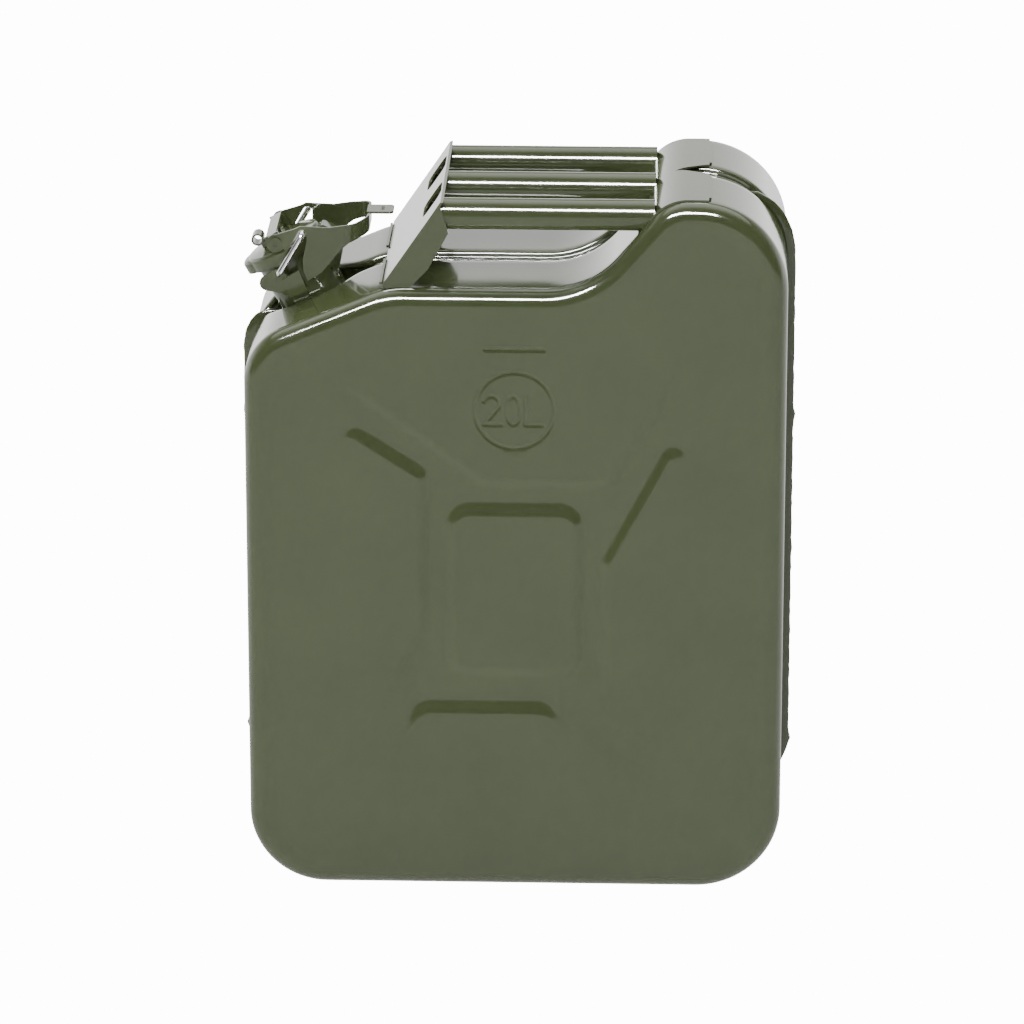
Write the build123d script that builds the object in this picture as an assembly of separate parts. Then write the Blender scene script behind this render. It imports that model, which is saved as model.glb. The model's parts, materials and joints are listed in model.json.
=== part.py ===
"""Twenty-litre pressed-steel fuel can with three carrying bars and a lever-locked hinged lid.

Millimetres. X runs across the broad face, from the spout at -X to the hump at +X. Y runs through
the thickness. Z is up, and the origin is on the resting surface, under the middle of the can.
"""
from build123d import *
import math
import os

os.makedirs("parts", exist_ok=True)

# Body
WIDTH = 345.0
THICKNESS = 165.0
HUMP_HEIGHT = 463.0
SADDLE_HEIGHT = 405.0
SHOULDER_END_HEIGHT = 367.2
SHEET = 1.0
FACE_RADIUS = 10.0
CHANNEL_HALF_WIDTH = 9.5
SEAM_HALF = 1.5
SEAM_PROUD = 6.0
HALF_W = WIDTH / 2
HALF_T = THICKNESS / 2

# Corners of the pressed outline, anticlockwise from the bottom left: x, z and corner radius
BODY = [
    (-HALF_W, 0.0, 50.0),
    (HALF_W, 0.0, 55.0),
    (HALF_W, HUMP_HEIGHT, 57.0),
    (96.4, HUMP_HEIGHT, 30.0),
    (46.0, SADDLE_HEIGHT, 60.0),
    (-82.0, SADDLE_HEIGHT, 60.0),
    (-HALF_W, SHOULDER_END_HEIGHT, 38.0),
]
# Inset of each edge's channel floor and weld flange: bottom, right, hump, rise, saddle, shoulder, left
CHANNEL_DEPTHS = [6.0, 7.0, 7.0, 7.0, 7.0, 14.0, 7.0]
FLANGE_INSETS = [2.0, -SEAM_PROUD, 1.5, 2.0, 2.0, 9.0, -SEAM_PROUD]
FLANGE_FOOT = 54.0
FLANGE_TAPER = 20.0

# Neck frame: origin on the neck axis, local x towards the hinge, local z out of the mouth
NECK_TILT = math.radians(29.0)
NECK_PLANE = Plane(
    origin=(-139.1, 0, 390.4),
    x_dir=(math.cos(NECK_TILT), 0, math.sin(NECK_TILT)),
    z_dir=(-math.sin(NECK_TILT), 0, math.cos(NECK_TILT)),
)
NECK_R = 22.5
NECK_BORE_R = 21.0
NECK_FOOT = -34.0
NECK_RIM = 24.2
POCKET_LENGTH = 66.0
POCKET_WIDTH = 56.0
BEAD_R = 24.6

# Closure pivots, in the can's X and Z
HINGE = (-117.0, 417.0)
LEVER_PIVOT = (-154.7, 419.9)
BAIL_PIVOT = (-153.0, 399.6)
BAIL_TOP = (-137.4, 426.6)
WIRE_R = 1.9
WIRE_BEND_R = 3.0
ARM_Y = 31.2
BAIL_INNER_Y = 26.4
CHEEK_Y = 26.6
CHEEK_T = 1.5
EAR_Y = 23.0
LUG_INNER_Y = 26.6
LUG_OUTER_Y = 28.6
BLOCK_OUTER_Y = 30.8
TAB_Y = 25.0
LUG_ROOT_Y = 15.0
RUNNING_GAP = 0.05
HINGE_PIN_R = 2.5
RIVET_R = 2.45
LID_R = 26.0
LID_SKIRT = 18.5
LID_TOP = 27.6
LID_CROWN = 29.4
NOSE_R = 15.0
NOSE_X = -14.8
NOSE_TOP = 27.0
NOSE_ROUND = 3.0

# Handle
BAR_R = 10.0
BAR_Y = 62.0
BAR_Z = 451.0
BAR_START = -64.0
BAR_END = 88.0
PLATE_T = 1.5
PLATE_HALF = 73.0
PLATE_TOP = (-47.0, 461.0)
PLATE_FOOT = (-84.5, 406.0)


def inset_outline(corners, insets):
    """Move each edge of an anticlockwise outline inwards by its own distance."""
    count = len(corners)
    moved = []
    for i in range(count):
        before, here, after = corners[i - 1], corners[i], corners[(i + 1) % count]
        gap_in, gap_out = insets[i - 1], insets[i]
        d1 = Vector(here[0] - before[0], here[1] - before[1]).normalized()
        d2 = Vector(after[0] - here[0], after[1] - here[1]).normalized()
        turn = d1.X * d2.Y - d1.Y * d2.X
        x = here[0] + (d2.X * gap_in - d1.X * gap_out) / turn
        z = here[1] + (d2.Y * gap_in - d1.Y * gap_out) / turn
        radius = here[2] - math.copysign((gap_in + gap_out) / 2, turn)
        moved.append((x, z, radius))
    return moved


def slab(corners, y_low, y_high):
    """A rounded outline in X and Z, made solid between two Y planes."""
    points = [(x, z) for x, z, _ in corners]
    radii = [radius for _, _, radius in corners]
    face = Plane.XZ * make_face(FilletPolyline(*points, radius=radii, close=True))
    return Pos(0, y_high, 0) * extrude(face, amount=y_high - y_low)


def plate(points, y_low, y_high):
    """A straight-edged outline in X and Z, made solid between two Y planes."""
    face = Plane.XZ * make_face(Polyline(*points, close=True))
    return Pos(0, y_high, 0) * extrude(face, amount=y_high - y_low)


def disc(centre, radius, y_low, y_high):
    """A round piece on an axis along Y through an X and Z point."""
    face = Plane.XZ * (Pos(*centre) * Circle(radius))
    return Pos(0, y_high, 0) * extrude(face, amount=y_high - y_low)


def rounded_hull(circles, y_low, y_high):
    """The outline stretched round circles given as x, z, radius."""
    edges = [Pos(x, z) * Circle(radius) for x, z, radius in circles]
    hull = make_hull([edge for face in edges for edge in face.edges()])
    return Pos(0, y_high, 0) * extrude(Plane.XZ * hull, amount=y_high - y_low)


def neck_rod(radius, low, high):
    """A cylinder on the neck axis between two heights."""
    return NECK_PLANE * (Pos(0, 0, (low + high) / 2) * Cylinder(radius, high - low))


def mirrored(shape):
    """The same piece on the far side."""
    return mirror(shape, about=Plane.XZ)


def pressed_half(inset):
    """The near half as a full solid, with its surface moved inwards by the given sheet depth."""
    edges = len(BODY)
    body = slab(inset_outline(BODY, [inset] * edges), -HALF_T + inset, 0)
    face_y = -HALF_T + inset
    rim = [edge for edge in body.edges() if abs(edge.center().Y - face_y) < 0.01]
    body = fillet(rim, FACE_RADIUS - inset)
    floor_insets = [depth + inset for depth in CHANNEL_DEPTHS]
    floor = slab(inset_outline(BODY, floor_insets), -HALF_T, 1)
    channel = Box(2 * WIDTH, 2 * (CHANNEL_HALF_WIDTH + inset), 3 * HUMP_HEIGHT)
    pocket_face = RectangleRounded(
        POCKET_LENGTH + 2 * inset, POCKET_WIDTH + 2 * inset, POCKET_WIDTH / 2 - 1 + inset
    )
    pocket = NECK_PLANE * (Pos(0, 0, -60) * extrude(pocket_face, amount=160))
    return body - (channel - floor) - (pocket - floor)


def make_shells():
    """Two pressed pans, each ending at the weld flange."""
    seam_gap = Box(2 * WIDTH, 2 * SEAM_HALF, 3 * HUMP_HEIGHT)
    near = pressed_half(0) - pressed_half(SHEET) - seam_gap - neck_rod(NECK_R, -60, 60)
    return near, mirrored(near)


def make_seam():
    """The two rims' weld flange, standing in the channel and proud of the straight sides."""
    rim = inset_outline(BODY, FLANGE_INSETS)
    low = FLANGE_INSETS[0]
    inner_x = HALF_W - low
    outer_x = HALF_W + SEAM_PROUD
    step = 8.0
    corners = [
        (-outer_x, FLANGE_FOOT + FLANGE_TAPER, step),
        (-inner_x, FLANGE_FOOT, step),
        (-inner_x, low, 46.0),
        (inner_x, low, 46.0),
        (inner_x, FLANGE_FOOT, step),
        (outer_x, FLANGE_FOOT + FLANGE_TAPER, step),
    ] + rim[2:]
    hollow = [depth + SHEET for depth in CHANNEL_DEPTHS]
    ring = slab(corners, -SEAM_HALF, SEAM_HALF)
    ring -= slab(inset_outline(BODY, hollow), -2 * SEAM_HALF, 2 * SEAM_HALF)
    return ring - neck_rod(BEAD_R, -60, 60)


def make_neck():
    """The mouth's tube, running from inside the shoulder to the sealing rim."""
    return neck_rod(NECK_R, NECK_FOOT, NECK_RIM) - neck_rod(NECK_BORE_R, NECK_FOOT - 1, NECK_RIM + 1)


def make_neck_weld():
    """The weld bead where the tube leaves the pocket's floor."""
    band = neck_rod(BEAD_R, -27.0, -19.5) - neck_rod(NECK_R, -40, 40)
    near = pressed_half(0)
    return band - near - mirrored(near)


def make_lug():
    """The near lug: the finger that carries the wire's foot, its block and its weld tab."""
    pivot_x, pivot_z = BAIL_PIVOT
    circles = [(pivot_x, pivot_z, 3.4), (-160.2, 393.5, 5.0), (-147.0, 391.5, 5.0)]
    finger = rounded_hull(circles, -LUG_OUTER_Y, -LUG_INNER_Y)
    block_corners = [(-150.7, 396.2), (-139.7, 403.0), (-134.2, 389.4), (-145.2, 384.5)]
    block = plate(block_corners, -BLOCK_OUTER_Y, -LUG_OUTER_Y)
    web = plate([(-152, 393), (-143, 393), (-141, 385), (-150, 385)], -LUG_INNER_Y, -LUG_ROOT_Y)
    tab = plate([(-146, 386), (-136, 390), (-132, 381), (-142, 377)], -TAB_Y, -LUG_ROOT_Y)
    lug = finger + block + web + tab
    lug -= disc(BAIL_PIVOT, WIRE_R + RUNNING_GAP, -40, -20)
    return lug - neck_rod(NECK_R, -60, 60)


def make_bail():
    """The near bright wire: a foot in the lug, an arm, and a short end in the lever's notch."""
    path = FilletPolyline(
        (BAIL_PIVOT[0], -BAIL_INNER_Y, BAIL_PIVOT[1]),
        (BAIL_PIVOT[0], -ARM_Y, BAIL_PIVOT[1]),
        (BAIL_TOP[0], -ARM_Y, BAIL_TOP[1]),
        (BAIL_TOP[0], -BAIL_INNER_Y, BAIL_TOP[1]),
        radius=WIRE_BEND_R,
    )
    start = Plane(origin=path @ 0, z_dir=path % 0)
    return sweep(start * Circle(WIRE_R), path=path)


def make_hinge_bracket():
    """Two ears on the back of the neck, joined by a saddle."""
    ear_circles = [(HINGE[0], HINGE[1], 5.0), (-121.0, 402.0, 6.5), (-117.5, 411.0, 4.0)]
    ear = rounded_hull(ear_circles, -8.8, -6.3)
    saddle = rounded_hull([(-117.0, 404.0, 3.0), (-121.0, 400.0, 5.0)], -8.8, 8.8)
    bracket = ear + mirrored(ear) + saddle
    bracket -= disc(HINGE, HINGE_PIN_R, -20, 20)
    return bracket - neck_rod(NECK_R, -60, 60)


def make_hinge_pin():
    """The lid's pin, fixed in the ears and headed at both ends."""
    head = disc(HINGE, 3.8, -10.3, -8.8)
    return disc(HINGE, HINGE_PIN_R, -8.8, 8.8) + head + mirrored(head)


def make_breather():
    """The air tube that lets the can pour, and the clip that holds it to the neck."""
    tube_r = 4.5
    bore_r = 3.7
    offset = NECK_BORE_R - tube_r - 0.1
    start = NECK_PLANE.from_local_coords(Vector(offset, 0, 16))
    bend = NECK_PLANE.from_local_coords(Vector(offset, 0, -52))
    path = FilletPolyline(start, bend, (-30, 0, 384), radius=14.0)
    section = Plane(origin=path @ 0, z_dir=path % 0)
    tube = sweep(section * Circle(tube_r), path=path) - sweep(section * Circle(bore_r), path=path)
    clip = NECK_PLANE * (Pos(NECK_BORE_R - 1.5, 0, -8) * Box(6, 8, 12))
    clip = (clip & neck_rod(NECK_BORE_R, -60, 60)) - sweep(section * Circle(tube_r), path=path)
    return tube, clip


def lathe(profile):
    """A profile of radius and height, turned about the neck axis."""
    return NECK_PLANE * revolve(Plane.XZ * make_face(profile), axis=Axis.Z)


def lid_outside():
    """The cap's outer profile, from the crown's middle to the skirt's edge."""
    return FilletPolyline(
        (0, LID_CROWN), (12, LID_CROWN - 0.4), (LID_R, LID_TOP), (LID_R, LID_SKIRT), radius=[20, 2.5]
    )


def make_lid_solid():
    """The space that the cap takes up, with nothing hollow."""
    closing = [Line((LID_R, LID_SKIRT), (0, LID_SKIRT)), Line((0, LID_SKIRT), (0, LID_CROWN))]
    return lathe(Curve() + [lid_outside()] + closing)


def lid_nose(inset):
    """The rounded nose at the lid's front, with its surface moved inwards by the sheet depth."""
    top = NOSE_TOP - inset
    foot = LID_SKIRT - inset
    nose = Cylinder(NOSE_R - inset, top - foot)
    nose = fillet(nose.edges().sort_by(Axis.Z)[-1], NOSE_ROUND - inset)
    return NECK_PLANE * (Pos(NOSE_X, 0, (top + foot) / 2) * nose)


def make_lid_cap():
    """The pressed cap: a skirt, a rolled shoulder and a low crown, with the hinge's knuckle."""
    inner = FilletPolyline(
        (LID_R - SHEET, LID_SKIRT),
        (LID_R - SHEET, LID_TOP - SHEET),
        (12, LID_CROWN - 0.4 - SHEET),
        (0, LID_CROWN - SHEET),
        radius=[1.5, 20],
    )
    foot = Line((LID_R, LID_SKIRT), (LID_R - SHEET, LID_SKIRT))
    middle = Line((0, LID_CROWN - SHEET), (0, LID_CROWN))
    cap = lathe(Curve() + [lid_outside(), foot, inner, middle])
    leaf = rounded_hull([(HINGE[0], HINGE[1], 5.0), (-126.0, 423.0, 3.0)], -6.0, 6.0)
    leaf -= neck_rod(LID_R - SHEET / 2, -60, 60)
    nose = lid_nose(0) - lid_nose(SHEET) - neck_rod(LID_R - SHEET / 2, -60, 60)
    cap = cap + leaf + nose - disc(HINGE, HINGE_PIN_R + RUNNING_GAP, -20, 20)
    return cap - neck_rod(3.0, 20, 40)


def make_lid_bridge():
    """The strap over the lid: two ears for the lever's rivets, a cross strip and a curled front lip."""
    width = 10.0
    strip = NECK_PLANE * (Pos(0, 0, 38.25) * Box(7.5, 2 * EAR_Y + 2, 1.5))
    ear = NECK_PLANE * (Pos(0, -EAR_Y - 0.75, 33.1) * Box(width, 1.5, 11.8))
    foot = NECK_PLANE * (Pos(0, -EAR_Y + 3.0, 28.6) * Box(width, 7.5, 1.2))
    near = ear + foot - disc(LEVER_PIVOT, RIVET_R, -40, 0)
    tongue = NECK_PLANE * (Pos(-9.5, 0, 31.4) * Box(4.0, 12.0, 3.0))
    lip = NECK_PLANE * (Pos(-13.0, 0, 36.0) * Rot(90, 0, 0) * (Cylinder(4.0, 12) - Cylinder(2.8, 13)))
    stem = NECK_PLANE * (Pos(-11.5, 0, 31.2) * Box(1.6, 12.0, 4.0))
    base = NECK_PLANE * (Pos(-7.5, 0, 30.2) * Box(9.0, 14.0, 1.6))
    post = NECK_PLANE * (Pos(0, 0, 34.2) * Box(7.5, 12.0, 7.0))
    bridge = strip + near + mirrored(near) + tongue + lip + stem + base + post
    return bridge - make_lid_solid() - neck_rod(6.0, 20, 30.9)


def make_gasket():
    """The rubber ring that the lid presses on the neck's rim."""
    return neck_rod(24.4, NECK_RIM, 26.2) - neck_rod(19.5, NECK_RIM - 1, 27)


def make_retainer():
    """The washer that keeps the gasket in the lid."""
    return neck_rod(19.4, 25.4, 26.4) - neck_rod(3.0, 20, 40)


def make_lid_rivet():
    """The rivet through the lid's middle."""
    return neck_rod(3.0, 25.4, LID_CROWN) + neck_rod(5.5, 24.2, 25.4) + neck_rod(5.5, LID_CROWN, 30.6)


def make_lever_rivet():
    """The near rivet that joins the lever to the bridge."""
    shank = disc(LEVER_PIVOT, RIVET_R, -28.4, -22.0)
    head = disc(LEVER_PIVOT, 4.2, -29.9, -28.4) - disc(LEVER_PIVOT, 1.6, -30.5, -29.2)
    return shank + head + disc(LEVER_PIVOT, 4.0, -22.9, -21.6)


def make_lever():
    """The U-shaped locking lever: notched cheeks, a round back bend and a thumb tab."""
    px, pz = LEVER_PIVOT
    outline = [
        (-4.0, 4.6), (11.6, 9.4), (16.0, 11.4), (34.0, 10.7), (50.5, 13.1), (60.0, 16.0),
        (60.0, 5.5), (54.0, 3.5), (47.0, 0.5), (41.0, -4.5), (35.5, -12.0), (29.0, -19.5),
        (20.3, -24.5), (17.9, -19.0), (17.3, -11.0), (20.0, 2.0), (19.9, 7.2), (17.6, 9.2),
        (14.9, 8.2), (13.5, 5.8), (7.1, -5.6),
    ]
    side = plate([(px + x, pz + z) for x, z in outline], -40, 40)
    side += disc((px, pz), 6.0, -40, 40)
    outer_y = CHEEK_Y + CHEEK_T
    back_x = px + 59.5
    front_x = px - 12.0
    length = back_x - front_x
    bend_r = 16.0

    def plan(half, back, radius):
        corners = [(front_x - 30, -half), (back, -half), (back, half), (front_x - 30, half)]
        shape = make_face(FilletPolyline(*corners, radius=[0, radius, radius, 0], close=True))
        return Pos(0, 0, pz - 60) * extrude(shape, amount=120)

    strip = plan(outer_y, back_x, bend_r) - plan(CHEEK_Y, back_x - CHEEK_T, bend_r - CHEEK_T)
    lever = strip & side
    thumb = Pos(back_x + 6.5, 0, pz + 15.4) * Box(17.0, 17.0, CHEEK_T)
    thumb = fillet(thumb.edges().filter_by(Axis.Z).sort_by(Axis.X)[-2:], 3.0)
    for side_y in (-2.2, 2.2):
        thumb -= Pos(back_x + 8, side_y, pz + 15.4) * Cylinder(1.3, 5)
    lever += thumb
    return lever - disc(LEVER_PIVOT, RIVET_R + RUNNING_GAP, -40, 40)


def make_bars(neighbours):
    """Three rolled tubes, cut to the slanted plate in front and to the hump behind."""
    bars = []
    ahead = plate([PLATE_TOP, (-47.0, 500), (-120, 500), (-120, 380), PLATE_FOOT], -HALF_T, HALF_T)
    centre_x = (BAR_START + BAR_END) / 2
    for y in (-BAR_Y, 0, BAR_Y):
        tube = Pos(centre_x, y, BAR_Z) * Rot(0, 90, 0) * (
            Cylinder(BAR_R, BAR_END - BAR_START) - Cylinder(BAR_R - 1.2, BAR_END - BAR_START + 1)
        )
        for neighbour in neighbours:
            tube = tube - neighbour
        bars.append(tube - ahead)
    return bars


def make_front_plate():
    """The slanted plate in front of the bars, with turned-in cheeks and two finger slots."""
    back_top = (PLATE_TOP[0] + 1.2 * PLATE_T, PLATE_TOP[1])
    back_foot = (PLATE_FOOT[0] + 1.2 * PLATE_T, PLATE_FOOT[1] - 1.0)
    slope = plate([PLATE_TOP, PLATE_FOOT, back_foot, back_top], -PLATE_HALF, PLATE_HALF)
    cheek_points = [(-47.5, 460.5), (-42, 441), (-55, 417), (-67, 404.5), (-83, 404.5), (-82, 408.5)]
    cheek = plate(cheek_points, -PLATE_HALF, PLATE_T - PLATE_HALF)
    shape = slope + cheek + mirrored(cheek)
    for y in (-BAR_Y / 2, BAR_Y / 2):
        block = Box(30, 30, 21)
        slot = fillet(block.edges().filter_by(Axis.X), 6.0)
        shape -= Pos(-54, y, 451) * Rot(0, 34, 0) * slot
    return shape


def make_rear_plate():
    """The plate that follows the hump's top under the bars' rear ends."""
    grown = slab(inset_outline(BODY, [-1.2] * len(BODY)), -PLATE_HALF, PLATE_HALF)
    window = Pos(104, 0, 450) * Box(36, 2 * PLATE_HALF, 60)
    wedge = make_face(Polyline((100, 0), (124, -12), (124, 12), close=True))
    notch = Pos(0, 0, HUMP_HEIGHT - 20) * extrude(wedge, amount=40)
    cover = grown - slab(BODY, -PLATE_HALF - 1, PLATE_HALF + 1)
    return (cover & window) - notch


def make_handle_welds():
    """Weld lines along both plates' edges."""
    welds = []
    for y in (-41.0, 41.0):
        welds.append(Pos(122.8, y, HUMP_HEIGHT + 0.6) * Box(1.6, 52, 1.2))
        welds.append(Pos(-85.4, y, SADDLE_HEIGHT + 1.0) * Box(1.6, 52, 1.6))
    return welds


near_solid = pressed_half(0)
body_solid = near_solid + mirrored(near_solid)
front_shell, rear_shell = make_shells()
breather_tube, breather_clip = make_breather()
rear_plate = make_rear_plate()
seam_flange = make_seam()
front_plate = make_front_plate() - body_solid
bar_near, bar_middle, bar_far = make_bars([body_solid, rear_plate, seam_flange, front_plate])
lug_near = make_lug()
bail_near = make_bail()
lever_rivet_near = make_lever_rivet()

nodes = {
    "front_shell": front_shell,
    "rear_shell": rear_shell,
    "seam_flange": seam_flange,
    "neck_tube": make_neck(),
    "neck_weld": make_neck_weld(),
    "lug_near": lug_near,
    "lug_far": mirrored(lug_near),
    "hinge_bracket": make_hinge_bracket(),
    "hinge_pin": make_hinge_pin(),
    "breather_tube": breather_tube,
    "breather_clip": breather_clip,
    "lid_cap": make_lid_cap(),
    "lid_bridge": make_lid_bridge(),
    "lid_gasket": make_gasket(),
    "gasket_retainer": make_retainer(),
    "lid_rivet": make_lid_rivet(),
    "lever_rivet_near": lever_rivet_near,
    "lever_rivet_far": mirrored(lever_rivet_near),
    "lever": make_lever(),
    "bail_near": bail_near,
    "bail_far": mirrored(bail_near),
    "handle_front_plate": front_plate,
    "handle_rear_plate": rear_plate,
    "handle_bar_near": bar_near,
    "handle_bar_middle": bar_middle,
    "handle_bar_far": bar_far,
    "handle_welds": Compound(children=[weld - body_solid for weld in make_handle_welds()]),
}

for name, shape in nodes.items():
    export_step(shape, f"parts/{name}.step")
    print(name, len(shape.solids()), round(shape.volume, 1))
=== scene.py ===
import json
import math
import random

import bpy
import numpy as np
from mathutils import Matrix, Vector, geometry


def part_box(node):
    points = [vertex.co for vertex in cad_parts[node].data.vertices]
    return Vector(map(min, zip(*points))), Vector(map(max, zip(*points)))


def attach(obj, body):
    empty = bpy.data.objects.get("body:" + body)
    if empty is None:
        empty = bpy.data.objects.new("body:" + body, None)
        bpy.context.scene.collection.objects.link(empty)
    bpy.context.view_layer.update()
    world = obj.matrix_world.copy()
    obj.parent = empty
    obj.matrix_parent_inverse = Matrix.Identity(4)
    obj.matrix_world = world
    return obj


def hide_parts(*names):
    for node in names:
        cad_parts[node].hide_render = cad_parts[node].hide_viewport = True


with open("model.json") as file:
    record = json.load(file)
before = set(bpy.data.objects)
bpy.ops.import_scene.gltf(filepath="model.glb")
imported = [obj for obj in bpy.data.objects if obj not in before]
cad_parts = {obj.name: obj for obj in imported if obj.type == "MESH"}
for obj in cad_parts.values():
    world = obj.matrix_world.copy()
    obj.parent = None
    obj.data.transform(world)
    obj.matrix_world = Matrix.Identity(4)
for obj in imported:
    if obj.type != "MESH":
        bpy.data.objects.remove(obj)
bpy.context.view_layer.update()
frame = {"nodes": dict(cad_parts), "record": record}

random.seed(7)

MM = 0.001
lowest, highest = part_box("front_shell")
HALF_W = (highest[0] - lowest[0]) / 2
HALF_T = -lowest[1]
HUMP = highest[2]
FACE_R = 10 * MM
SADDLE = 405 * MM
CHANNEL_HALF = 9.5 * MM
LIP_R = 3.0 * MM
SEAM_HALF = 1.5 * MM
SHEET = 1.0 * MM

# The pressed outline's corners, anticlockwise from the bottom left: x, z, radius
BODY = [
    (-HALF_W, 0.0, 50 * MM),
    (HALF_W, 0.0, 55 * MM),
    (HALF_W, HUMP, 57 * MM),
    (96.4 * MM, HUMP, 30 * MM),
    (46.0 * MM, SADDLE, 60 * MM),
    (-82.0 * MM, SADDLE, 60 * MM),
    (-HALF_W, 367.2 * MM, 38 * MM),
]
CHANNEL_DEPTHS = [d * MM for d in (6.0, 7.0, 7.0, 7.0, 7.0, 14.0, 7.0)]
CORNER_STEPS = 22
EDGE_PITCH = 4.5 * MM

NECK_TILT = math.radians(29)
NECK_POINT = Vector((-139.1 * MM, 0, 390.4 * MM))
NECK_AXIS = Vector((-math.sin(NECK_TILT), 0, math.cos(NECK_TILT)))
NECK_SIDE = Vector((math.cos(NECK_TILT), 0, math.sin(NECK_TILT)))


# ---------------------------------------------------------------- materials

def new_material(name, color, roughness, metallic=0.0, coat=0.0):
    """A Principled material with its even values set on the shader's own sockets."""
    material = bpy.data.materials.new(name)
    material.use_nodes = True
    shader = material.node_tree.nodes["Principled BSDF"]
    shader.inputs["Base Color"].default_value = (*color, 1)
    shader.inputs["Roughness"].default_value = roughness
    shader.inputs["Metallic"].default_value = metallic
    shader.inputs["Coat Weight"].default_value = coat
    shader.inputs["Coat Roughness"].default_value = 0.06
    return material, shader


def noise(material, scale, detail=3.0, stretch=(1, 1, 1)):
    """Noise in object coordinates, so that it stays on the metal in every view."""
    tree = material.node_tree
    place = tree.nodes.new("ShaderNodeTexCoord")
    mapping = tree.nodes.new("ShaderNodeMapping")
    mapping.inputs["Scale"].default_value = stretch
    texture = tree.nodes.new("ShaderNodeTexNoise")
    texture.inputs["Scale"].default_value = scale
    texture.inputs["Detail"].default_value = detail
    tree.links.new(place.outputs["Object"], mapping.inputs["Vector"])
    tree.links.new(mapping.outputs["Vector"], texture.inputs["Vector"])
    return texture.outputs["Fac"]


def ramp(material, value, stops):
    """A colour ramp from positions to colours."""
    node = material.node_tree.nodes.new("ShaderNodeValToRGB")
    for index, (position, color) in enumerate(stops):
        element = node.color_ramp.elements[index] if index < 2 else node.color_ramp.elements.new(position)
        element.position = position
        element.color = (*color, 1)
    material.node_tree.links.new(value, node.inputs["Fac"])
    return node.outputs["Color"]


def add_bump(material, shader, heights):
    """Stacks bumps, each a value, a strength and a distance."""
    normal = None
    for value, strength, distance in heights:
        bump = material.node_tree.nodes.new("ShaderNodeBump")
        bump.inputs["Strength"].default_value = strength
        bump.inputs["Distance"].default_value = distance
        material.node_tree.links.new(value, bump.inputs["Height"])
        if normal is not None:
            material.node_tree.links.new(normal, bump.inputs["Normal"])
        normal = bump.outputs["Normal"]
    material.node_tree.links.new(normal, shader.inputs["Normal"])


PAINT = (0.064, 0.081, 0.034)


def olive_paint(name="olive_paint", orange_peel=0.06):
    """Glossy olive enamel with faint mottling and a fine orange peel."""
    material, shader = new_material(name, PAINT, 0.1, coat=0.25)
    tree = material.node_tree
    deep = tuple(channel * 0.96 for channel in PAINT)
    pale = tuple(channel * 1.04 for channel in PAINT)
    mottling = ramp(material, noise(material, 14, 4), [(0.32, deep), (0.68, pale)])
    tree.links.new(mottling, shader.inputs["Base Color"])
    gloss = ramp(material, noise(material, 40, 2), [(0.3, (0.08,) * 3), (0.7, (0.13,) * 3)])
    tree.links.new(gloss, shader.inputs["Roughness"])
    add_bump(material, shader, [(noise(material, 190, 2), orange_peel, 0.0002)])
    return material


def bright_wire():
    """Zinc-plated wire: bright, with fine drawing marks."""
    material, shader = new_material("bright_wire", (0.86, 0.86, 0.87), 0.14, metallic=1.0)
    tree = material.node_tree
    tone = ramp(material, noise(material, 60, 3), [(0.3, (0.76, 0.76, 0.78)), (0.7, (0.92, 0.92, 0.92))])
    tree.links.new(tone, shader.inputs["Base Color"])
    gloss = ramp(material, noise(material, 120, 2), [(0.3, (0.10,) * 3), (0.7, (0.22,) * 3)])
    tree.links.new(gloss, shader.inputs["Roughness"])
    add_bump(material, shader, [(noise(material, 900, 1), 0.05, 0.0001)])
    return material


def bare_steel():
    """Tinned steel for the hidden inner pieces."""
    material, shader = new_material("bare_steel", (0.55, 0.56, 0.56), 0.35, metallic=1.0)
    tree = material.node_tree
    tone = ramp(material, noise(material, 80, 4), [(0.3, (0.42, 0.43, 0.43)), (0.7, (0.62, 0.63, 0.63))])
    tree.links.new(tone, shader.inputs["Base Color"])
    add_bump(material, shader, [(noise(material, 500, 2), 0.15, 0.0002)])
    return material


def gasket_rubber():
    """Matt black moulded rubber."""
    material, shader = new_material("gasket_rubber", (0.03, 0.03, 0.03), 0.75)
    tree = material.node_tree
    tone = ramp(material, noise(material, 150, 3), [(0.3, (0.022,) * 3), (0.7, (0.045,) * 3)])
    tree.links.new(tone, shader.inputs["Base Color"])
    add_bump(material, shader, [(noise(material, 1200, 2), 0.3, 0.0002)])
    return material


materials = {
    "olive_paint": olive_paint(),
    "bright_wire": bright_wire(),
    "bare_steel": bare_steel(),
    "gasket_rubber": gasket_rubber(),
}
slots = {row["node"]: row["material_slot"] for row in frame["record"]["subparts"]}
for node, piece in frame["nodes"].items():
    for place in piece.material_slots:
        place.material = materials[slots[node]]


# ---------------------------------------------------------------- outlines

def inset_outline(corners, insets):
    """Moves each edge of an anticlockwise outline inwards by its own distance."""
    moved = []
    count = len(corners)
    for i in range(count):
        before, here, after = corners[i - 1], corners[i], corners[(i + 1) % count]
        gap_in, gap_out = insets[i - 1], insets[i]
        d1 = Vector((here[0] - before[0], here[1] - before[1])).normalized()
        d2 = Vector((after[0] - here[0], after[1] - here[1])).normalized()
        turn = d1.x * d2.y - d1.y * d2.x
        x = here[0] + (d2.x * gap_in - d1.x * gap_out) / turn
        z = here[1] + (d2.y * gap_in - d1.y * gap_out) / turn
        radius = here[2] - math.copysign((gap_in + gap_out) / 2, turn)
        moved.append((x, z, radius))
    return moved


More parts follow.
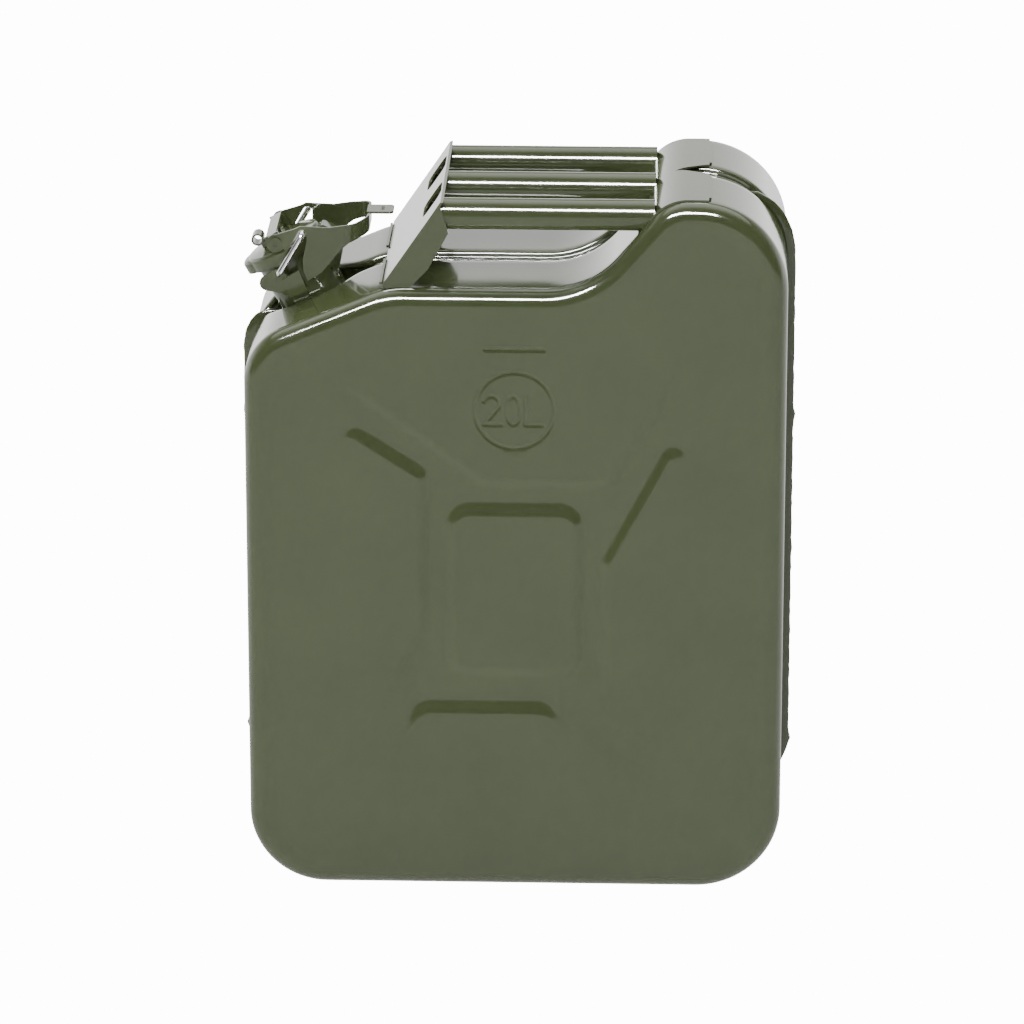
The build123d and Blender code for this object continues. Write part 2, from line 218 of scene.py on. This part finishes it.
def corner_arc(before, here, after):
    """The points of one rounded corner."""
    p = Vector(here[:2])
    d1 = (p - Vector(before[:2])).normalized()
    d2 = (Vector(after[:2]) - p).normalized()
    turn = d1.x * d2.y - d1.y * d2.x
    angle = math.atan2(turn, d1.dot(d2))
    side = math.copysign(1, angle)
    radius = here[2]
    start = p - d1 * radius * math.tan(abs(angle) / 2)
    centre = start + Vector((-d1.y, d1.x)) * radius * side
    points = []
    for step in range(CORNER_STEPS + 1):
        a = angle * step / CORNER_STEPS
        arm = start - centre
        points.append(centre + Vector((arm.x * math.cos(a) - arm.y * math.sin(a),
                                       arm.x * math.sin(a) + arm.y * math.cos(a))))
    return points


def edge_counts():
    """How many steps each straight edge takes, the same for every inset."""
    counts = []
    for i, corner in enumerate(BODY):
        length = (Vector(BODY[(i + 1) % len(BODY)][:2]) - Vector(corner[:2])).length
        counts.append(max(4, round(length / EDGE_PITCH)))
    return counts


EDGE_STEPS = edge_counts()


def outline_points(corners):
    """The whole rounded outline, sampled alike for every inset, as an array of x and z."""
    count = len(corners)
    arcs = [corner_arc(corners[i - 1], corners[i], corners[(i + 1) % count]) for i in range(count)]
    points = []
    for i, arc in enumerate(arcs):
        points += arc
        end, start = arc[-1], arcs[(i + 1) % count][0]
        for step in range(1, EDGE_STEPS[i]):
            points.append(end.lerp(start, step / EDGE_STEPS[i]))
    return np.array([tuple(point) for point in points])


def smooth(low, high, value):
    """A soft step from 0 to 1."""
    t = np.clip((value - low) / (high - low), 0, 1)
    return t * t * (3 - 2 * t)


def even(inset):
    """The body outline moved inwards by the same distance all round."""
    return outline_points(inset_outline(BODY, [inset] * len(BODY)))


outer = even(0)
floor = outline_points(inset_outline(BODY, CHANNEL_DEPTHS))
tangent = np.roll(outer, -1, axis=0) - np.roll(outer, 1, axis=0)
tangent /= np.linalg.norm(tangent, axis=1)[:, None]
normals = np.stack([tangent[:, 1], -tangent[:, 0]], axis=1)

POCKET_R = 27 * MM
POCKET_FLAT = 6 * MM
POCKET_MARGIN = 1 * MM
POCKET_SOFTENING = 6


def channel_half_widths():
    """Half width of the channel along the outline: it opens into a round pocket at the neck."""
    along_neck = (outer[:, 0] - NECK_POINT.x) * NECK_SIDE.x + (outer[:, 1] - NECK_POINT.z) * NECK_SIDE.z
    on_shoulder = (outer[:, 1] > 330 * MM) & (outer[:, 0] < -80 * MM)
    past_flat = np.maximum(np.abs(along_neck) - POCKET_FLAT, 0)
    pocket = POCKET_MARGIN + np.sqrt(np.maximum(POCKET_R ** 2 - past_flat ** 2, 0))
    widths = np.where(on_shoulder, np.maximum(CHANNEL_HALF, pocket), CHANNEL_HALF)
    for _ in range(POCKET_SOFTENING):
        widths = (np.roll(widths, 1) + 2 * widths + np.roll(widths, -1)) / 4
    return widths


half_width = channel_half_widths()


# ---------------------------------------------------------------- pressings of the broad face

def segment_distance(x, z, a, b):
    """Distance from points to a straight segment."""
    ax, az = a
    dx, dz = b[0] - ax, b[1] - az
    t = np.clip(((x - ax) * dx + (z - az) * dz) / (dx * dx + dz * dz), 0, 1)
    return np.hypot(x - ax - t * dx, z - az - t * dz)


def polygon_distance(x, z, points):
    """Signed distance to a polygon, negative inside."""
    nearest = np.full(x.shape, 1e9)
    inside = np.zeros(x.shape, bool)
    for i, a in enumerate(points):
        b = points[(i + 1) % len(points)]
        nearest = np.minimum(nearest, segment_distance(x, z, a, b))
        crosses = (a[1] > z) != (b[1] > z)
        rise = b[1] - a[1] if b[1] != a[1] else 1e-9
        inside ^= crosses & (x < (b[0] - a[0]) * (z - a[1]) / rise + a[0])
    return np.where(inside, -nearest, nearest)


def rounded_panel(x, z, points, radius):
    """Signed distance to a polygon whose corners are rounded, by shrinking and growing it."""
    centre = np.mean(points, axis=0)
    shrunk = []
    for i, here in enumerate(points):
        before, after = np.array(points[i - 1]), np.array(points[(i + 1) % len(points)])
        here = np.array(here)
        d1 = (here - before) / np.linalg.norm(here - before)
        d2 = (after - here) / np.linalg.norm(after - here)
        n1 = np.array([-d1[1], d1[0]])
        n2 = np.array([-d2[1], d2[0]])
        if np.dot(n1, centre - here) < 0:
            n1, n2 = -n1, -n2
        shrunk.append(tuple(here + (n1 + n2) * radius / (1 + np.dot(n1, n2))))
    return polygon_distance(x, z, shrunk) - radius


# Millimetres from here to the end of pressing()
PATTERN_Z = 201.0
UPPER_PANEL = [(-111, 500), (-111, 345), (-19, 277), (61, 277), (111, 362), (111, 500)]
LEFT_PANEL = [(-111, 317), (-111, 78), (-58, 178), (-58, 283)]
SQUARE = [(-41.5, 149), (41.5, 149), (41.5, 260), (-41.5, 260)]
GROOVE_DEPTH = 2.8
SLOPE_WIDTH = 8.0
CAPACITY_Z = 327.0
CIRCLE_R = 25.2
SHORT_BAR = ((-18.5, 367.5), (18.5, 367.5))
MARK_DEPTH = 0.5
SIDE_FALL = 0.9
DIGIT_LEFT = [-19.5, -5.0, 7.0]
DIGIT_TOP = 336.5
DIGIT_BOTTOM = 317.5
TWO_BOWL = 5
TWO_WIDTH = 11
NOUGHT_HALF_WIDTH = 4.3
NOUGHT_HALF_HEIGHT = 9.5
ELL_WIDTH = 10.5


def turned(points):
    """The same panel turned half round about the pattern's middle."""
    return [(-x, 2 * PATTERN_Z - z) for x, z in points]


def digit_strokes():
    """The capacity mark, as plain strokes: a two, a nought and an L."""
    two, nought, ell = DIGIT_LEFT
    top, low = DIGIT_TOP, DIGIT_BOTTOM
    strokes = []
    arc = []
    for a in np.linspace(0.3, 3.6, 9):
        arc.append((two + TWO_BOWL - TWO_BOWL * math.cos(a), top - TWO_BOWL + TWO_BOWL * math.sin(a)))
    strokes += list(zip(arc, arc[1:]))
    strokes.append((arc[-1], (two, low)))
    strokes.append(((two, low), (two + TWO_WIDTH, low)))
    middle = (top + low) / 2
    ring = []
    for a in np.linspace(0, 2 * math.pi, 17):
        across = nought + NOUGHT_HALF_WIDTH - NOUGHT_HALF_WIDTH * math.cos(a)
        ring.append((across, middle + NOUGHT_HALF_HEIGHT * math.sin(a)))
    strokes += list(zip(ring, ring[1:]))
    strokes.append(((ell, top), (ell, low)))
    strokes.append(((ell, low), (ell + ELL_WIDTH, low)))
    return strokes


def pressing(x, z):
    """How far the face is pressed inwards, in mm, at points given in mm."""
    panels = [
        (UPPER_PANEL, 14), (turned(UPPER_PANEL), 14), (LEFT_PANEL, 8), (turned(LEFT_PANEL), 8), (SQUARE, 13),
    ]
    nearest = np.full(x.shape, 1e9)
    for points, radius in panels:
        nearest = np.minimum(nearest, rounded_panel(x, z, points, radius))
    depth = GROOVE_DEPTH * smooth(-SLOPE_WIDTH / 2, SLOPE_WIDTH / 2, nearest)
    depth *= 1 - smooth(90, 116, np.abs(x))
    # The groove's two lower arms are shallower than the rest of it
    past_edge = np.maximum(x - 16, -60 - x)
    depth *= 1 - 0.75 * smooth(0, 14, past_edge) * (1 - smooth(135, 165, z))
    ridge = np.abs(np.hypot(x, z - CAPACITY_Z) - CIRCLE_R)
    mark = 1 - smooth(0.4, 1.7, ridge)
    for a, b in digit_strokes():
        mark = np.maximum(mark, 1 - smooth(0.5, 1.7, segment_distance(x, z, a, b)))
    mark = np.maximum(mark, 1 - smooth(0.6, 1.9, segment_distance(x, z, *SHORT_BAR)))
    depth += MARK_DEPTH * mark
    depth += SIDE_FALL * smooth(104, 160, np.abs(x))
    return depth


# ---------------------------------------------------------------- pressed skins

def mesh_object(name, vertices, faces, material, body):
    """A smooth-shaded piece that rides on a body."""
    mesh = bpy.data.meshes.new(name)
    mesh.from_pydata([tuple(v) for v in vertices], [], [tuple(f) for f in faces])
    mesh.validate()
    mesh.update()
    piece = bpy.data.objects.new(name, mesh)
    bpy.context.scene.collection.objects.link(piece)
    mesh.materials.append(material)
    mesh.shade_smooth()
    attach(piece, body)
    return piece


FILLET_STEPS = 9
FLOOR_RINGS = 13
WALL_RINGS = 14
LIP_STEPS = 6
WALL_LEAN = 2 * MM
FACE_PITCH = 2.2
MARK_PITCH = 0.75
RIM_FADE = 9
NECK_HOLE_R = 23.2 * MM


def skin_rings():
    """The rings of the near half, from the weld to the edge of the broad face: x, z and y arrays."""
    rings = []
    wall_foot = half_width - WALL_LEAN
    for share in np.linspace(0, 1, FLOOR_RINGS):
        rings.append((floor, -(SEAM_HALF + (wall_foot - SEAM_HALF) * share)))
    toward = outer - floor
    for share in (0.12, 0.4, 0.7):
        lift = floor + toward * share
        ease = 1 - (1 - share) ** 3
        rings.append((lift, -(wall_foot + WALL_LEAN * ease)))
    for step in range(LIP_STEPS + 1):
        a = math.pi / 2 * step / LIP_STEPS
        inset = LIP_R * (1 - math.sin(a))
        rings.append((even(inset), -(half_width + LIP_R * (1 - math.cos(a)))))
    flat_end = HALF_T - FACE_R
    lip_end = half_width + LIP_R
    for share in np.linspace(0, 1, WALL_RINGS)[1:]:
        rings.append((outer, -(lip_end + (flat_end - lip_end) * share)))
    for step in range(1, FILLET_STEPS + 1):
        a = math.pi / 2 * step / FILLET_STEPS
        ring_y = np.full(len(outer), -(flat_end + FACE_R * math.sin(a)))
        rings.append((even(FACE_R * (1 - math.cos(a))), ring_y))
    return rings


def face_fill(boundary):
    """The flat of the broad face as a triangle mesh in mm, finest round the capacity mark."""
    xs = np.arange(-165, 166, FACE_PITCH)
    zs = np.arange(8, 460, FACE_PITCH)
    gx, gz = np.meshgrid(xs, zs)
    gx = gx + (np.arange(len(zs)) % 2)[:, None] * FACE_PITCH / 2
    gx, gz = gx.ravel(), gz.ravel()
    keep = polygon_distance(gx, gz, [tuple(p) for p in boundary]) < -FACE_PITCH * 0.6
    mark_zone = (np.abs(gx) < 28) & (gz > 300) & (gz < 371)
    points = [Vector((float(x), float(z))) for x, z in boundary]
    points += [Vector((float(x), float(z))) for x, z in zip(gx[keep & ~mark_zone], gz[keep & ~mark_zone])]
    fx, fz = np.meshgrid(np.arange(-27, 27.1, MARK_PITCH), np.arange(301, 370.1, MARK_PITCH))
    points += [Vector((float(x), float(z))) for x, z in zip(fx.ravel(), fz.ravel())]
    count = len(boundary)
    edges = [(i, (i + 1) % count) for i in range(count)]
    verts, _, faces, _, _, _ = geometry.delaunay_2d_cdt(points, edges, [], 1, 1e-5)
    return np.array([tuple(v) for v in verts]), faces


def clear_neck(vertices):
    """Moves the floor's points that lie inside the neck out to its wall, and says which they are."""
    reach = vertices - np.array(NECK_POINT)
    height = reach @ np.array(NECK_AXIS)
    side = reach @ np.array(NECK_SIDE)
    radius = np.hypot(side, vertices[:, 1])
    inside = (radius < NECK_HOLE_R) & (height > -40 * MM) & (height < 5 * MM)
    scale = np.where(inside, NECK_HOLE_R / np.maximum(radius, 1e-6), 1.0)
    vertices[:, 1] *= scale
    shift = side * (scale - 1)
    vertices[:, 0] += shift * NECK_SIDE.x
    vertices[:, 2] += shift * NECK_SIDE.z
    return inside


def make_skins():
    """Both pressed halves, with their channel, rounded edges and face pressings."""
    rings = skin_rings()
    count = len(outer)
    parts = [np.stack([xz[:, 0], y, xz[:, 1]], axis=1) for xz, y in rings]
    walls = np.concatenate(parts)
    faces = []
    for level in range(len(rings) - 1):
        for i in range(count):
            j = (i + 1) % count
            base = level * count
            faces.append((base + i, base + j, base + count + j, base + count + i))
    moved = clear_neck(walls)
    faces = [f for f in faces if not all(moved[v] for v in f)]

    boundary = rings[-1][0] / MM
    flat, triangles = face_fill(boundary)
    depth = pressing(flat[:, 0], flat[:, 1])
    rim = polygon_distance(flat[:, 0], flat[:, 1], [tuple(p) for p in boundary])
    depth = depth * smooth(0, RIM_FADE, -rim)
    face_y = -HALF_T + depth * MM
    flat_vertices = np.stack([flat[:, 0] * MM, face_y, flat[:, 1] * MM], axis=1)
    start = len(walls)
    last_ring = (len(rings) - 1) * count
    remap = {}
    for index in range(len(flat)):
        remap[index] = last_ring + index if index < count else start + index - count
    vertices = np.concatenate([walls, flat_vertices[count:]])
    faces += [tuple(remap[v] for v in triangle) for triangle in triangles]

    for name, node, flip in (("skin_front", "front_shell", 1), ("skin_rear", "rear_shell", -1)):
        placed = vertices * np.array([1, flip, 1])
        ordered = faces if flip == 1 else [tuple(reversed(f)) for f in faces]
        skin = mesh_object(name, placed, ordered, materials["olive_paint"], "can")
        thick = skin.modifiers.new("sheet", "SOLIDIFY")
        thick.thickness = SHEET
        thick.offset = -1
        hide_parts(node)


# ---------------------------------------------------------------- weld flange

# Weld lumps on the flange's straight sides: which side, height and size, in mm
BUMPS = [(-1, 300, 0.7), (-1, 82, 1.3), (1, 300, 1.3), (1, 75, 1.2), (1, 210, 0.6)]

RIPPLES = [(61, 0.10), (137, 0.10), (233, 0.09), (331, 0.08)]
FLANGE_PROUD = 6.0
FLANGE_SUNK = 2.0
SHOULDER_DROP = 7.0
EDGE_WEAR = 0.3
FLANGE_HALF = 1.5
BEND_HALF = 1.4
LIP_HALF = 0.6
NECK_CLEARANCE_R = 22.0 * MM


def flange_heights():
    """How far the flange stands past the pressed outline, at each outline point."""
    x, z = outer[:, 0] / MM, outer[:, 1] / MM
    past_foot = smooth(48, 74, z)
    side = FLANGE_PROUD * past_foot - FLANGE_SUNK * (1 - past_foot)
    top = -FLANGE_SUNK - SHOULDER_DROP * (1 - smooth(-106, -92, x))
    mix = smooth(0.45, 0.97, np.abs(normals[:, 0])) * (np.abs(x) > 150)
    height = mix * side + (1 - mix) * np.where(z > 100, top, -FLANGE_SUNK)
    waves = np.zeros(len(x))
    run = np.cumsum(np.linalg.norm(np.roll(outer, -1, axis=0) - outer, axis=1)) / MM
    total = run[-1]
    for cycles, size in RIPPLES:
        waves += size * np.sin(2 * math.pi * cycles * run / total + random.uniform(0, 6.28))
    for hand, at, size in BUMPS:
        near = (np.sign(x) == hand) & (np.abs(x) > 150)
        waves += np.where(near, size * np.exp(-((z - at) / 3.0) ** 2), 0)
    return (height + waves - EDGE_WEAR) * MM


def make_flange():
    """The weld flange: a thin ragged-edged ridge all round, rounded at its lip."""
    height = flange_heights()
    rim = outer + normals * height[:, None]
    root = outline_points(inset_outline(BODY, [d + SHEET for d in CHANNEL_DEPTHS]))
    near_rim = rim + (root - rim) * (1.0 * MM / np.linalg.norm(root - rim, axis=1))[:, None]
    section = [
        (root, -FLANGE_HALF), (near_rim, -BEND_HALF), (rim, -LIP_HALF),
        (rim, LIP_HALF), (near_rim, BEND_HALF), (root, FLANGE_HALF),
    ]
    count = len(outer)
    vertices = []
    for xz, y in section:
        vertices += [(p[0], y * MM, p[1]) for p in xz]
    vertices = np.array(vertices)
    neck_clear = clear_flange(vertices)
    faces = []
    for level in range(len(section)):
        after = (level + 1) % len(section)
        for i in range(count):
            j = (i + 1) % count
            face = (level * count + i, after * count + i, after * count + j, level * count + j)
            if not any(neck_clear[v] for v in face):
                faces.append(face)
    flange = mesh_object("weld_flange", vertices, faces, materials["olive_paint"], "can")
    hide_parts("seam_flange")


def clear_flange(vertices):
    """Which of the flange's points lie inside the neck."""
    reach = vertices - np.array(NECK_POINT)
    height = reach @ np.array(NECK_AXIS)
    side = reach @ np.array(NECK_SIDE)
    return (np.hypot(side, vertices[:, 1]) < NECK_CLEARANCE_R) & (height > -60 * MM) & (height < 20 * MM)


make_skins()
make_flange()


# ---------------------------------------------------------------- floor, light and camera

# Brightness of the surroundings, and of the backdrop that only the camera sees
BACKDROP_GLOW = 14.0
FLOOR_GLOW = 1.0
DARK_GLOW = 0.08
BACK_GLOW = 2.6


def add_floor():
    """A plain pale floor that only lights the can, so the camera sees white under it."""
    half = 6.0
    mesh = bpy.data.meshes.new("floor")
    corners = [(-half, -half, 0), (half, -half, 0), (half, half, 0), (-half, half, 0)]
    mesh.from_pydata(corners, [], [(0, 1, 2, 3)])
    floor_piece = bpy.data.objects.new("floor", mesh)
    bpy.context.scene.collection.objects.link(floor_piece)
    material, _ = new_material("floor", (0.93, 0.93, 0.93), 0.9)
    mesh.materials.append(material)
    floor_piece.visible_glossy = False
    floor_piece.visible_camera = False


def add_backdrop():
    """A white shell far round the can that only the camera sees."""
    bpy.ops.mesh.primitive_uv_sphere_add(radius=9.0, segments=48, ring_count=24)
    shell = bpy.context.object
    shell.name = "backdrop"
    material = bpy.data.materials.new("backdrop")
    material.use_nodes = True
    tree = material.node_tree
    tree.nodes.remove(tree.nodes["Principled BSDF"])
    glow = tree.nodes.new("ShaderNodeEmission")
    glow.inputs["Strength"].default_value = BACKDROP_GLOW
    tree.links.new(glow.outputs["Emission"], tree.nodes["Material Output"].inputs["Surface"])
    shell.data.materials.append(material)
    shell.visible_diffuse = False
    shell.visible_glossy = False
    shell.visible_shadow = False
    shell.visible_transmission = False


def add_area(name, place, target, size, power, mirrored):
    """A rectangular light: a mirrored one shows only in the gloss, and any other only in the shading."""
    light = bpy.data.lights.new(name, "AREA")
    light.shape = "RECTANGLE"
    light.size, light.size_y = size
    light.energy = power
    lamp = bpy.data.objects.new(name, light)
    lamp.location = place
    lamp.rotation_euler = (Vector(target) - Vector(place)).to_track_quat("-Z", "Y").to_euler()
    lamp.visible_diffuse = not mirrored
    lamp.visible_glossy = mirrored
    bpy.context.scene.collection.objects.link(lamp)


def add_world():
    """White behind and underfoot, and dark in front and overhead, as in a product booth."""
    world = bpy.data.worlds.new("world")
    bpy.context.scene.world = world
    world.use_nodes = True
    tree = world.node_tree
    place = tree.nodes.new("ShaderNodeTexCoord")
    split = tree.nodes.new("ShaderNodeSeparateXYZ")
    tree.links.new(place.outputs["Generated"], split.inputs["Vector"])

    def levels(axis, low, high, stops):
        spread = tree.nodes.new("ShaderNodeMapRange")
        spread.inputs["From Min"].default_value = low
        spread.inputs["From Max"].default_value = high
        tree.links.new(split.outputs[axis], spread.inputs["Value"])
        node = tree.nodes.new("ShaderNodeValToRGB")
        for index, (position, level) in enumerate(stops):
            element = node.color_ramp.elements[index] if index < 2 else node.color_ramp.elements.new(position)
            element.position = (position - low) / (high - low)
            element.color = (level, level, level, 1)
        tree.links.new(spread.outputs["Result"], node.inputs["Fac"])
        return node.outputs["Color"]

    front = levels("Z", -1, 1, [
        (-0.5, FLOOR_GLOW), (-0.16, FLOOR_GLOW), (-0.05, DARK_GLOW), (0.9, DARK_GLOW),
    ])
    rear = levels("Z", -1, 1, [(-0.4, FLOOR_GLOW), (-0.05, BACK_GLOW), (0.48, BACK_GLOW), (0.68, DARK_GLOW)])
    side = levels("Y", -1, 1, [(-0.25, 0.0), (0.25, 1.0)])
    mix = tree.nodes.new("ShaderNodeMix")
    mix.data_type = "RGBA"
    tree.links.new(side, mix.inputs["Factor"])
    # The mix node's colour sockets are inputs 6 and 7 and output 2
    tree.links.new(front, mix.inputs[6])
    tree.links.new(rear, mix.inputs[7])
    back = tree.nodes["Background"]
    tree.links.new(mix.outputs[2], back.inputs["Color"])
    back.inputs["Strength"].default_value = 1.0


def add_camera():
    """A long lens, nearly square on to the broad face and above it."""
    target = Vector((-1.5 * MM, -HALF_T, 259 * MM))
    distance = 3.8
    azimuth = math.radians(2)
    elevation = math.radians(19)
    offset = Vector((
        math.sin(azimuth) * math.cos(elevation),
        -math.cos(azimuth) * math.cos(elevation),
        math.sin(elevation),
    ))
    data = bpy.data.cameras.new("camera")
    data.lens = 209.3
    data.clip_end = 50
    camera = bpy.data.objects.new("camera", data)
    camera.location = target + offset * distance
    camera.rotation_euler = (-offset).to_track_quat("-Z", "Y").to_euler()
    bpy.context.scene.collection.objects.link(camera)
    bpy.context.scene.camera = camera


add_floor()
add_world()
add_backdrop()
add_area("key", (-0.9, -2.4, 2.2), (0, 0, 0.25), (1.6, 1.6), 58, mirrored=False)
add_area("top", (0.2, 0.6, 2.6), (0, 0, 0.3), (1.6, 1.6), 26, mirrored=False)
add_area("strip", (-0.25, -1.30, 1.75), (0, 0, 0.42), (1.6, 0.32), 420, mirrored=True)
add_camera()
